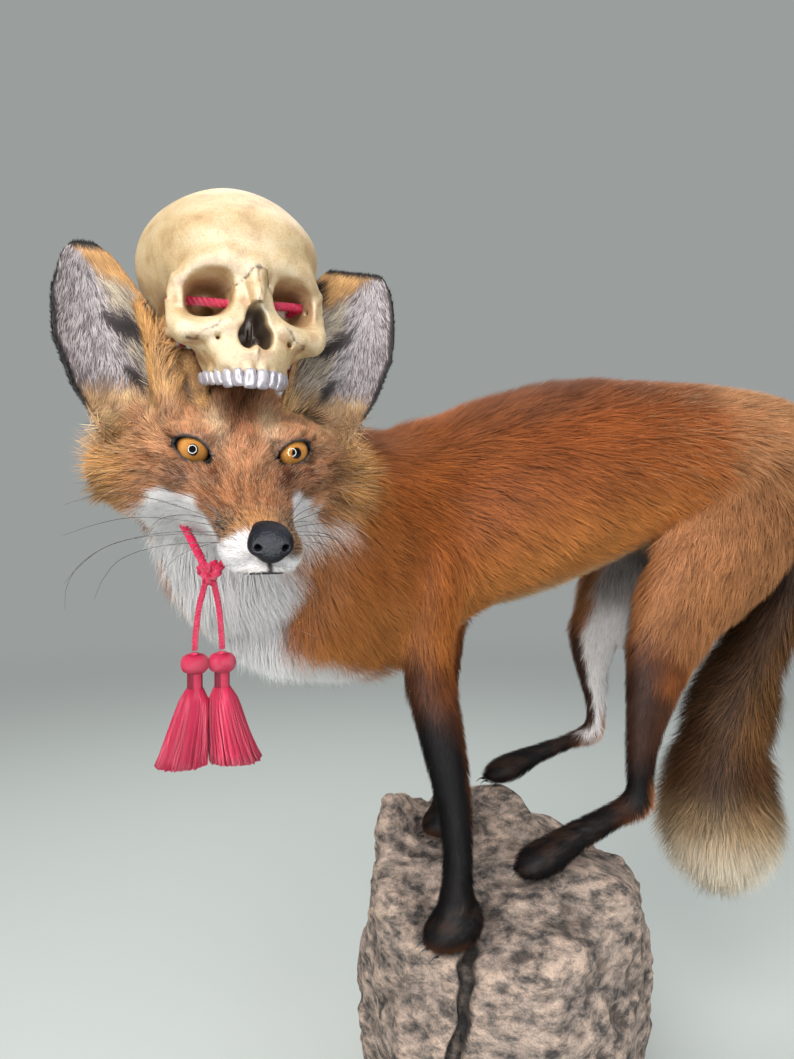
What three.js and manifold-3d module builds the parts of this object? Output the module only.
// A mounted red fox: life-size, all four feet gathered on a rock, head turned to its left,
// wearing a small replica skull held on by a red cord with two tassels.
// Millimetres, +Z up. The rock's flat underside is the floor, z = 0. The fox's trunk runs
// along X with its chest towards -X, and its head faces -Y.
// The body solids are the outline out to the tips of the coat.

import * as THREE from "three";
import { mergeVertices } from "three/addons/utils/BufferGeometryUtils.js";
import Module from "manifold-3d";

const wasm = await Module();
wasm.setup();

// ---------------------------------------------------------------- driving dimensions

const GAP = 0.4; // clear space between neighbouring pieces
const EYE_MIDDLE = [-198, -140, 497]; // the point midway between the eyeballs' centres
const HEAD_TURN = 1.5; // degrees that the muzzle points past -Y, towards +X
const HEAD_PITCH = 17; // degrees that the muzzle points down
const EYE_RADIUS = 9.2;
const EYE_SIDE = 25.5; // an eyeball's centre to the head's middle plane
const NOSE = { at: [0, 80, -24], half: [10, 7.5, 8.5] };
const SKULL_SCALE = 0.7; // of a full-size human skull
const SKULL_MIDDLE = [-202.5, -98, 602.5]; // centre of the replica's braincase
const SKULL_TURN = 8;
const SKULL_PITCH = 2;
const CORD_RADIUS = 2.4;
const STRING_RADIUS = 1.6;
const KNOT = { at: [-217, -163, 436], half: [5.5, 4.5, 5.5] };
const TASSEL = { knob: 6.2, neck: 3.7, skirt: 11.4, top: 391, waist: 378, hem: 341 };

// ---------------------------------------------------------------- solids

// A closed three.js geometry as a manifold-3d solid.
function solid(geometry) {
  const bare = geometry.clone();
  for (const name of Object.keys(bare.attributes)) {
    if (name !== "position") bare.deleteAttribute(name);
  }
  const merged = mergeVertices(bare, 1e-4);
  return new wasm.Manifold(
    new wasm.Mesh({
      numProp: 3,
      vertProperties: new Float32Array(merged.attributes.position.array),
      triVerts: new Uint32Array(merged.index.array),
    }),
  );
}

// The first of these whose pattern fits a node's name gives its colour and roughness.
const FINISHES = [
  [/eye/, "#c8842a", 0.05], [/nose/, "#17171a", 0.4], [/ear/, "#b59a78", 0.9], [/neck/, "#d8c3ae", 0.9],
  [/lower|paw|shank|foot/, "#1c1715", 0.85], [/tail/, "#8f6a48", 0.9], [/rock/, "#a89684", 0.95],
  [/skull/, "#d8bf8c", 0.45], [/cord|knot|string|tassel/, "#a3162c", 0.6], [/./, "#a65d2b", 0.9],
];

function finishOf(name) {
  const [, color, roughness] = FINISHES.find(([pattern]) => pattern.test(name));
  return new THREE.MeshStandardMaterial({ color, roughness, metalness: 0 });
}

// One body of a solid as a three.js mesh.
function meshOf(name, body) {
  const mesh = body.getMesh();
  const position = new Float32Array(mesh.numVert * 3);
  for (let i = 0; i < mesh.numVert; i++) {
    position.set(mesh.vertProperties.subarray(i * mesh.numProp, i * mesh.numProp + 3), i * 3);
  }
  const geometry = new THREE.BufferGeometry()
    .setAttribute("position", new THREE.BufferAttribute(position, 3))
    .setIndex(new THREE.BufferAttribute(new Uint32Array(mesh.triVerts), 1));
  const made = new THREE.Mesh(geometry, finishOf(name));
  made.name = name;
  return made;
}

const bodiesOf = (made) => made.decompose().sort((a, b) => b.volume() - a.volume());
const joined = (pieces) => pieces.reduce((whole, piece) => whole.add(piece));
const less = (made, taken) => taken.reduce((rest, piece) => rest.subtract(piece), made);
const power = (value, exponent) => Math.sign(value) * Math.abs(value) ** exponent;

// A closed loft through stations [x, y, z, side, top, bottom = top, round = 2]. A section is a
// superellipse: side is its half width, top and bottom its reach from the centre, and round its
// exponent. With an axis every section is square to it, else to the centreline.
function loft(stations, { sides = 16, rings = 12, up = [0, 0, 1], axis = null, grow = 0 } = {}) {
  const smooth = (pick) =>
    new THREE.CatmullRomCurve3(stations.map((s) => new THREE.Vector3(...pick(s))), false, "catmullrom");
  const centres = smooth((s) => s.slice(0, 3));
  const sizes = smooth((s) => [s[3], s[4], s[5] ?? s[4]]);
  const rounds = smooth((s) => [s[6] ?? 2, s[7] ?? s[6] ?? 2, 0]);
  const upward = new THREE.Vector3(...up);
  const along = (t) => (axis ? new THREE.Vector3(...axis) : centres.getTangent(t)).normalize();
  const position = [];
  const index = [];
  const push = (p) => position.push(p.x, p.y, p.z);
  push(centres.getPoint(0).addScaledVector(along(0), -grow));
  for (let r = 0; r < rings; r++) {
    const t = r / (rings - 1);
    const [centre, size, round, forward] = [centres.getPoint(t), sizes.getPoint(t), rounds.getPoint(t), along(t)];
    const right = new THREE.Vector3().crossVectors(forward, upward).normalize();
    const above = new THREE.Vector3().crossVectors(right, forward);
    if (r === 0) centre.addScaledVector(forward, -grow);
    if (r === rings - 1) centre.addScaledVector(forward, grow);
    for (let k = 0; k < sides; k++) {
      const angle = (2 * Math.PI * k) / sides;
      const [c, s] = [Math.cos(angle), Math.sin(angle)];
      const exponent = 2 / (s >= 0 ? round.x : round.y);
      const across = (size.x + grow) * power(c, exponent);
      const rise = ((s >= 0 ? size.y : size.z) + grow) * power(s, exponent);
      push(centre.clone().addScaledVector(right, across).addScaledVector(above, rise));
    }
  }
  push(centres.getPoint(1).addScaledVector(along(1), grow));
  const ring = (r, k) => 1 + r * sides + (k % sides);
  for (let k = 0; k < sides; k++) {
    index.push(0, ring(0, k), ring(0, k + 1), 1 + rings * sides, ring(rings - 1, k + 1), ring(rings - 1, k));
    for (let r = 0; r < rings - 1; r++) {
      index.push(ring(r, k), ring(r + 1, k), ring(r + 1, k + 1), ring(r, k), ring(r + 1, k + 1), ring(r, k + 1));
    }
  }
  return outward(position, index);
}

// A solid from points and triangles, with its faces turned outwards.
function outward(position, index) {
  const geometry = new THREE.BufferGeometry().setAttribute("position", new THREE.Float32BufferAttribute(position, 3));
  const made = solid(geometry.setIndex(index));
  if (made.volume() > 0) return made;
  const turned = [];
  for (let i = 0; i < index.length; i += 3) turned.push(index[i], index[i + 2], index[i + 1]);
  return solid(geometry.setIndex(turned));
}

// An ellipsoid with the given half sizes.
function ellipsoid(centre, half, { grow = 0, detail = [16, 10] } = {}) {
  const geometry = new THREE.SphereGeometry(1, detail[0], detail[1]);
  geometry.scale(half[0] + grow, half[1] + grow, half[2] + grow).translate(...centre);
  return solid(geometry);
}

// A round tube through points, as an extrusion along their curve.
function tube(points, radius, { grow = 0, steps = 24, sides = 8 } = {}) {
  const section = new THREE.Shape();
  section.absarc(0, 0, radius + grow, 0, 2 * Math.PI, false);
  const extrudePath = new THREE.CatmullRomCurve3(points.map((p) => new THREE.Vector3(...p)), false, "centripetal");
  const settings = { steps, extrudePath, curveSegments: sides, bevelEnabled: false };
  return solid(new THREE.ExtrudeGeometry(section, settings));
}

// A thin slab across a body: its middle, the way it faces and its half sizes.
function slab(middle, facing, half) {
  const geometry = new THREE.BoxGeometry(GAP, 2 * half[0], 2 * half[1]);
  const ahead = new THREE.Vector3(...facing).normalize();
  const turn = new THREE.Quaternion().setFromUnitVectors(new THREE.Vector3(1, 0, 0), ahead);
  geometry.applyQuaternion(turn).translate(...middle);
  return solid(geometry);
}

// A frame with x to the face's own right, y out of the face and z up.
function faceFrame(origin, turn, pitch) {
  const degrees = Math.PI / 180;
  return new THREE.Matrix4()
    .makeTranslation(...origin)
    .multiply(new THREE.Matrix4().makeRotationZ((180 + turn) * degrees))
    .multiply(new THREE.Matrix4().makeRotationX(-pitch * degrees));
}

const headFrame = faceFrame(EYE_MIDDLE, HEAD_TURN, HEAD_PITCH);
const skullFrame = faceFrame(SKULL_MIDDLE, SKULL_TURN, SKULL_PITCH)
  .multiply(new THREE.Matrix4().makeScale(SKULL_SCALE, SKULL_SCALE, SKULL_SCALE));
const placed = (frame, made) => made.transform(frame.toArray());
const inHead = (made) => placed(headFrame, made);
const inSkull = (made) => placed(skullFrame, made);

// ---------------------------------------------------------------- the fox

// Sections of the head from the nape forwards to the lips, in the head's frame.
const HEAD = [
  [0, -76, -22, 50, 40, 44], [0, -60, -15, 74, 48, 50], [0, -40, -12, 82, 43, 50], [0, -22, -12, 74, 34, 47],
  [0, -7, -13, 56, 27, 43], [0, 6, -15, 42, 23, 38], [0, 18, -18, 31, 17, 33], [0, 34, -23, 22.5, 13.5, 26],
  [0, 52, -27, 19, 11.5, 21], [0, 68, -28, 17.5, 10, 18.5], [0, 79, -29, 11, 6, 12],
];

// The ears from root to tip; the left one is broader and folded flat at its top.
const EAR_RIGHT = [
  [48, -40, 2, 24, 13, 13], [57, -46, 24, 30, 13, 14], [65, -56, 48, 31, 10, 12], [72, -66, 72, 25, 7, 8],
  [77, -74, 90, 15, 4.5, 5], [80, -78, 99, 5, 2.5, 2.5],
];

const EAR_LEFT = [
  [-48, -40, 2, 24, 13, 13], [-57, -46, 24, 30, 13, 14], [-66, -55, 48, 32, 10, 12], [-70, -64, 70, 30, 7, 8],
  [-72, -71, 87, 26, 5, 5.5], [-74, -75, 98, 17, 2.5, 2.5],
];

const NECK = [
  [-40, 0, 466, 62, 66, 90], [-95, -12, 460, 68, 70, 112], [-140, -38, 468, 70, 60, 114],
  [-176, -68, 478, 68, 50, 104], [-198, -98, 478, 65, 38, 92], [-206, -124, 470, 34, 20, 66],
];

const TRUNK = [
  [-140, 0, 418, 26, 40, 46], [-118, 0, 430, 52, 74, 80], [-86, 0, 441, 64, 90, 96], [-50, 0, 451, 69, 90, 86],
  [0, 0, 474, 72, 86, 80], [60, 0, 483, 74, 93, 75], [120, 0, 496, 73, 83, 60], [180, 0, 504, 72, 76, 64],
  [235, 0, 506, 70, 71, 72], [280, 0, 508, 58, 62, 68], [312, 0, 510, 30, 38, 42],
];

const TAIL = [
  [304, 0, 538, 18, 12], [313, 0, 520, 33, 28], [318, 0, 488, 38, 36], [308, 1, 440, 38, 37], [282, 3, 390, 38, 37],
  [252, 5, 340, 40, 39], [233, 7, 285, 46, 46], [227, 8, 240, 53, 54], [227, 8, 200, 55, 57], [227, 8, 170, 40, 41],
  [226, 8, 152, 14, 14],
];

// Each leg from the body down: the upper part, the lower part and the foot.
const FORE_LEFT = {
  upper: [[-68, -48, 452, 27, 34], [-67, -49, 420, 26, 33], [-64, -47, 382, 21, 27], [-60, -46, 350, 17, 21]],
  lower: [[-61, -46, 358, 18, 21], [-50, -46, 312, 15, 21], [-43, -47, 276, 14, 17.5], [-39.5, -48, 240, 13.5, 14.5],
    [-40, -48.5, 210, 14, 14], [-42, -49, 186, 17, 17]],
  paw: [[-20, -49, 186, 10, 8, 14], [-28, -49, 188, 17, 12, 22], [-44, -49, 184, 20, 13, 24],
    [-58, -49, 178, 17, 11, 19],
    [-66, -49, 173, 9, 6, 11]],
};
const FORE_RIGHT = {
  upper: [[-40, 48, 462, 27, 34], [-28, 49, 435, 25, 31], [-14, 47, 405, 19, 23], [-8, 46, 385, 16, 18]],
  lower: [[-6, 46, 396, 16, 19], [-9, 46, 360, 14, 16], [-13, 45, 322, 13.5, 14.5], [-14, 44, 285, 13.5, 14],
    [-11, 43, 250, 14, 14], [-10, 42, 226, 16, 16]],
  paw: [[10, 42, 224, 12, 8, 14], [2, 42, 226, 17, 12, 24], [-14, 42, 222, 20, 13, 24], [-28, 42, 217, 17, 11, 20],
    [-36, 42, 213, 9, 6, 12]],
};
const HIND_LEFT = {
  upper: [[232, -42, 488, 30, 44], [212, -44, 468, 35, 58], [178, -45, 434, 33, 57], [150, -44, 400, 28, 48],
    [134, -42, 366, 22, 38]],
  lower: [[134, -42, 370, 21, 38], [124, -42, 334, 18, 27], [117, -41, 302, 14.5, 19.5], [114, -40, 274, 13, 16.5],
    [117, -38, 254, 13, 14.5], [120, -38, 240, 10, 11]],
  foot: [[128, -38, 249, 10, 10], [118, -38, 250, 13.5, 14], [88, -38, 238, 13, 13], [58, -38, 227, 14.5, 13.5],
    [36, -38, 219, 18, 12.5, 19], [18, -38, 213, 18, 11, 18], [8, -38, 209, 9, 5, 11]],
};
const HIND_RIGHT = {
  upper: [[232, 42, 490, 30, 44], [214, 44, 470, 35, 58], [182, 45, 436, 33, 57], [152, 46, 400, 27, 46],
    [134, 48, 366, 21, 34]],
  lower: [[134, 48, 374, 21, 34], [127, 49, 350, 17, 25], [130, 50, 324, 13.5, 17], [132, 50, 301, 12, 14],
    [131, 50, 284, 12, 13.5], [133, 50, 270, 9, 10]],
  foot: [[141, 50, 281, 9, 9], [131, 50, 281, 12.5, 12.5], [102, 50, 272, 11.5, 10.5], [72, 50, 264, 13, 11],
    [50, 50, 258, 17, 11, 16], [32, 50, 253, 17, 10, 15], [22, 50, 249, 9, 5, 10]],
};

const headShape = (grow = 0) => inHead(loft(HEAD, { sides: 18, rings: 13, axis: [0, 1, 0], grow }));
const earShape = (stations, grow = 0) => inHead(loft(stations, { sides: 10, rings: 7, up: [0, 1, 0], grow }));
const eyeShape = (side, grow = 0) =>
  inHead(ellipsoid([side * EYE_SIDE, 0, 0], [EYE_RADIUS, EYE_RADIUS, EYE_RADIUS], { grow, detail: [12, 8] }));
const noseShape = (grow = 0) => inHead(ellipsoid(NOSE.at, NOSE.half, { grow, detail: [12, 8] }));

const LEG_UP = [-1, 0, 0];
const tailShape = (grow = 0) => loft(TAIL, { sides: 12, rings: 13, up: LEG_UP, axis: [0, 0, -1], grow });
const upperShape = (leg, grow = 0) => loft(leg.upper, { sides: 10, rings: 6, up: LEG_UP, grow });
const lowerShape = (leg, grow = 0) =>
  joined([
    loft(leg.lower, { sides: 8, rings: 7, up: LEG_UP, grow }),
    loft(leg.paw ?? leg.foot, { sides: 10, rings: 7, grow }),
  ]);

// ---------------------------------------------------------------- the rock

// Heights of the rock's top where the feet stand and at its corners: [x, y, z].
const ROCK_TOP = [
  [-44, -49, 167], [-14, 42, 206], [22, -38, 199], [40, 50, 244], [79, -40, 204], [112, -45, 184],
  [-62, 78, 256], [78, 62, 206], [-86, -10, 196], [-56, -82, 140], [40, -88, 176], [116, 40, 196], [14, 96, 236],
];
const ROCK_MIDDLE = [20, 2];

function rockHeight(x, y) {
  let total = 0;
  let weight = 0;
  for (const [px, py, pz] of ROCK_TOP) {
    const w = 1 / ((x - px) ** 2 + (y - py) ** 2 + 90) ** 1.6;
    total += w * pz;
    weight += w;
  }
  return total / weight;
}

// The rock's outline seen from above, at a share of its height, as a distance from its middle.
function rockReach(angle, share) {
  const body = 1 / Math.hypot(Math.cos(angle) / 114, Math.sin(angle) / 102);
  const lumps = 5 * Math.sin(3 * angle + 1.2) + 4 * Math.sin(5 * angle + 4 * share)
    + 3 * Math.sin(8 * angle - 5 * share);
  const waist = 0.9 + 0.12 * Math.sin(Math.PI * (0.15 + 0.75 * share));
  return (body + lumps) * waist;
}

function rockShape() {
  const sectors = 26;
  const tops = [0.22, 0.44, 0.64, 0.82, 0.94];
  const walls = [0.93, 0.8, 0.6, 0.4, 0.2, 0.04, 0];
  const position = [...ROCK_MIDDLE, rockHeight(...ROCK_MIDDLE)];
  const index = [];
  const rings = [...tops.map((t) => [t, 1]), ...walls.map((w) => [w === 0 ? 0.97 : 1, w])];
  for (const [reach, share] of rings) {
    for (let k = 0; k < sectors; k++) {
      const angle = (2 * Math.PI * k) / sectors;
      const radius = rockReach(angle, share) * reach;
      const [x, y] = [ROCK_MIDDLE[0] + radius * Math.cos(angle), ROCK_MIDDLE[1] + radius * Math.sin(angle)];
      position.push(x, y, rockHeight(x, y) * share);
    }
  }
  const last = position.length / 3;
  position.push(...ROCK_MIDDLE, 0);
  const at = (r, k) => 1 + r * sectors + (k % sectors);
  for (let k = 0; k < sectors; k++) {
    index.push(0, at(0, k), at(0, k + 1), last, at(rings.length - 1, k + 1), at(rings.length - 1, k));
    for (let r = 0; r < rings.length - 1; r++) {
      index.push(at(r, k), at(r + 1, k), at(r + 1, k + 1), at(r, k), at(r + 1, k + 1), at(r, k + 1));
    }
  }
  return outward(position, index);
}

// ---------------------------------------------------------------- the replica skull, at full size in its own frame

const BRAINCASE = [
  [0, -87, -2, 14, 12, 12], [0, -74, -2, 44, 38, 34], [0, -45, -1, 65, 56, 52], [0, -5, 0, 71, 60, 60],
  [0, 35, 0, 65, 56, 50], [0, 62, -3, 54, 46, 38], [0, 80, -8, 42, 30, 26], [0, 89, -14, 26, 14, 14],
];
// The face, from the brow down to the gum: [x, y, z, half width, front, back].
const SKULL_FACE = [
  [0, 56, -8, 46, 30, 30, 2.6], [0, 58, -26, 52, 31, 30, 2.6], [0, 58, -42, 51, 27, 28, 2.6],
  [0, 58, -58, 48, 27, 26, 2.4],
  [0, 58, -70, 38, 30, 24, 2.4], [0, 58, -82, 32, 34, 22, 2.4], [0, 58, -93, 31, 35, 22, 2.4],
];
const SKULL_BASE = [
  [0, -40, -42, 34, 30, 20], [0, -10, -56, 40, 26, 22], [0, 25, -62, 32, 24, 18], [0, 45, -68, 26, 20, 16],
];

function skullMass(grow = 0) {
  const archPath = (side) => [[side * 48, 66, -60], [side * 58, 46, -59], [side * 63, 22, -57], [side * 60, -4, -52]];
  const arch = (side) => tube(archPath(side), 5, { steps: 5, sides: 3, grow });
  const mastoid = (side) => ellipsoid([side * 52, -14, -62], [11, 15, 20], { grow, detail: [8, 6] });
  const cheek = (side) => ellipsoid([side * 42, 66, -60], [15, 16, 12], { grow, detail: [8, 6] });
  const gum = [[0, 58, -90, 28, 33, 6, 2.4], [0, 58, -103, 27, 33, 4, 2.4]];
  const teeth = loft(gum, { sides: 14, rings: 2, up: [0, 1, 0], axis: [0, 0, -1], grow });
  return joined([
    loft(BRAINCASE, { sides: 16, rings: 10, axis: [0, 1, 0], grow }),
    loft(SKULL_FACE, { sides: 14, rings: 7, up: [0, 1, 0], axis: [0, 0, -1], grow }),
    loft(SKULL_BASE, { sides: 10, rings: 4, axis: [0, 1, 0], grow }),
    teeth, arch(1), arch(-1), mastoid(1), mastoid(-1), cheek(1), cheek(-1),
  ]);
}

function skullShape() {
  const orbit = (side) => ellipsoid([side * 33, 92, -39], [19.5, 40, 17], { detail: [10, 7] });
  const palate = ellipsoid([0, 56, -103], [19, 24, 9], { detail: [10, 6] });
  const noseHole = ellipsoid([0, 92, -66], [11.5, 14, 15], { detail: [10, 6] });
  return less(skullMass(), [orbit(1), orbit(-1), noseHole, palate]);
}

// ---------------------------------------------------------------- cord and tassels

// Through both eye sockets, then down each side of the head inside the coat to the knot.
const CORDS = {
  sockets: [[-247, -118, 572], [-243, -134, 573], [-226, -143, 574], [-204, -146, 575], [-184, -146, 576],
    [-168, -138, 577], [-161, -121, 576]],
  right: [[-247.5, -114, 571], [-245, -99, 566], [-245.5, -84.5, 554], [-248.5, -79.5, 537], [-255.5, -85, 516.5],
    [-256, -98, 498], [-245.5, -116, 476.5], [-228, -132, 458], [-221, -154, 441]],
  left: [[-161, -117, 575], [-161, -99.5, 569], [-156.5, -83, 556], [-151.5, -77.5, 539], [-143.5, -84, 517],
    [-144, -98.5, 496.5], [-156.5, -119, 476], [-184, -134, 457], [-211, -157, 438]],
};
const STRINGS = {
  right: [[-219, -163, 430.4], [-222, -163, 418], [-223.6, -162, 404], [-223.8, -161, 397.4]],
  left: [[-215, -163, 430.4], [-212.6, -163, 418], [-211.2, -162, 404], [-210.8, -161, 397.4]],
};

function tasselShape(x, lean) {
  const y = -160.5;
  const { knob, neck, skirt, top, waist, hem } = TASSEL;
  const round = { sides: 10, rings: 5, up: [0, 1, 0], axis: [0, 0, -1] };
  return joined([
    loft([[x, y, top + 5, 2.4, 2.4], [x, y, top + 3, 5.2, 5.2], [x, y, top, knob, knob], [x, y, top - 4, 5, 5],
      [x, y, top - 5.5, neck, neck]], round),
    loft([[x, y, top - 4, neck, neck], [x + lean * 0.6, y, waist, neck + 0.6, neck + 0.6],
      [x + lean * 3.4, y, waist - 12, 6.6, 6.6], [x + lean * 5, y, hem + 12, 9, 9],
      [x + lean * 6.4, y, hem, skirt, skirt - 1]], round),
  ]);
}

// ---------------------------------------------------------------- the parts, cut clear of one another

const parts = new THREE.Group();
const add = (name, made) => parts.add(meshOf(name, bodiesOf(made)[0]));

// Names the bodies that slabs cut a solid into: each name goes to the body with the nearest middle.
function addCut(made, slabs, names) {
  const bodies = bodiesOf(less(made, slabs)).slice(0, names.length);
  const middles = bodies.map((body) => {
    const { min, max } = body.boundingBox();
    return min.map((low, i) => (low + max[i]) / 2);
  });
  for (const [name, ...at] of names) {
    const distances = middles.map((m) => Math.hypot(m[0] - at[0], m[1] - at[1], m[2] - at[2]));
    parts.add(meshOf(name, bodies[distances.indexOf(Math.min(...distances))]));
  }
}

const skull = inSkull(skullShape());
const skullRoom = inSkull(skullMass(GAP / SKULL_SCALE));
const rock = rockShape();
const rockRoom = rock.translate(0, 0, GAP);
const knot = ellipsoid(KNOT.at, KNOT.half, { detail: [10, 6] });
const knotRoom = ellipsoid(KNOT.at, KNOT.half, { grow: GAP, detail: [10, 6] });
const cordOf = (name, grow = 0) => tube(CORDS[name], CORD_RADIUS, { steps: 9, sides: 4, grow });
const cordRooms = Object.keys(CORDS).map((name) => cordOf(name, 0.5));

const eyes = { left: eyeShape(-1), right: eyeShape(1) };
const eyeRooms = [-1, 1].flatMap((side) => [
  eyeShape(side, GAP),
  inHead(ellipsoid([side * (EYE_SIDE + 1), 8, 0], [7.5, 9, 6], { detail: [12, 8] })),
]);
const ears = { left: earShape(EAR_LEFT), right: earShape(EAR_RIGHT) };
const earRooms = [earShape(EAR_LEFT, GAP), earShape(EAR_RIGHT, GAP)];
const legs = { fore_left: FORE_LEFT, fore_right: FORE_RIGHT, hind_left: HIND_LEFT, hind_right: HIND_RIGHT };

for (const side of ["left", "right"]) {
  add(`eye_${side}`, eyes[side]);
  add(`ear_${side}`, less(ears[side], [skullRoom, ...cordRooms]));
}
add("nose", noseShape());
add("head", less(headShape(), [noseShape(GAP), ...eyeRooms, ...earRooms, skullRoom, ...cordRooms, knotRoom]));

const trunk = joined([loft(TRUNK, { sides: 16, rings: 14, axis: [1, 0, 0] }), loft(NECK, { sides: 14, rings: 8 })]);
const legsRoom = Object.values(legs).flatMap((leg) => [upperShape(leg, GAP), lowerShape(leg, GAP)]);
const trunkAlone = less(trunk, [
  headShape(GAP), ...earRooms, ...legsRoom, tailShape(GAP), skullRoom, ...cordRooms, knotRoom,
]);
addCut(
  trunkAlone,
  [
    slab([-112, 0, 460], [1, 0, 0.12], [150, 150]),
    slab([52, 0, 480], [1, 0, 0], [120, 140]),
    slab([168, 0, 500], [1, 0, 0], [120, 140]),
  ],
  [["neck", -180, -50, 480], ["chest", -30, 0, 450], ["loin", 110, 0, 490], ["rump", 240, 0, 505]],
);
for (const [name, leg] of Object.entries(legs)) {
  add(`${name}_upper`, upperShape(leg));
  const lower = less(lowerShape(leg), [upperShape(leg, GAP), rockRoom]);
  const [x, y, z] = leg.lower[4];
  if (name.startsWith("fore")) {
    const wrist = slab([x, y, z - 6], [0, 0, 1], [40, 40]);
    addCut(lower, [wrist], [[`${name}_lower`, x, y, z + 60], [`${name}_paw`, x, y, z - 40]]);
  } else {
    const hock = slab([x - 16, y, z - 8], [-0.9, 0, -0.35], [30, 40]);
    addCut(lower, [hock], [[`${name}_shank`, x, y, z + 60], [`${name}_foot`, x - 80, y, z - 20]]);
  }
}
addCut(
  less(tailShape(), Object.values(legs).map((leg) => upperShape(leg, GAP))),
  [slab([313, 4, 400], [-0.35, 0.04, -1], [90, 90]), slab([262, 7, 285], [-0.36, 0, -1], [90, 90])],
  [["tail_base", 315, 2, 450], ["tail_middle", 285, 6, 340], ["tail_tip", 240, 8, 220]],
);

add("rock_base", rock);
add("skull", less(skull, cordRooms));
for (const name of Object.keys(CORDS)) {
  const taken = name === "sockets" ? [] : [knotRoom, cordOf("sockets", 0.5)];
  add(`cord_${name}`, less(cordOf(name), taken));
}
add("knot", knot);
for (const [side, x, lean] of [["right", -223.8, -1], ["left", -210.8, 1]]) {
  const string = (grow) => tube(STRINGS[side], STRING_RADIUS, { steps: 5, sides: 4, grow });
  add(`string_${side}`, less(string(0), [knotRoom]));
  add(`tassel_${side}`, less(tasselShape(x, lean), [string(0.3)]));
}

export default parts;
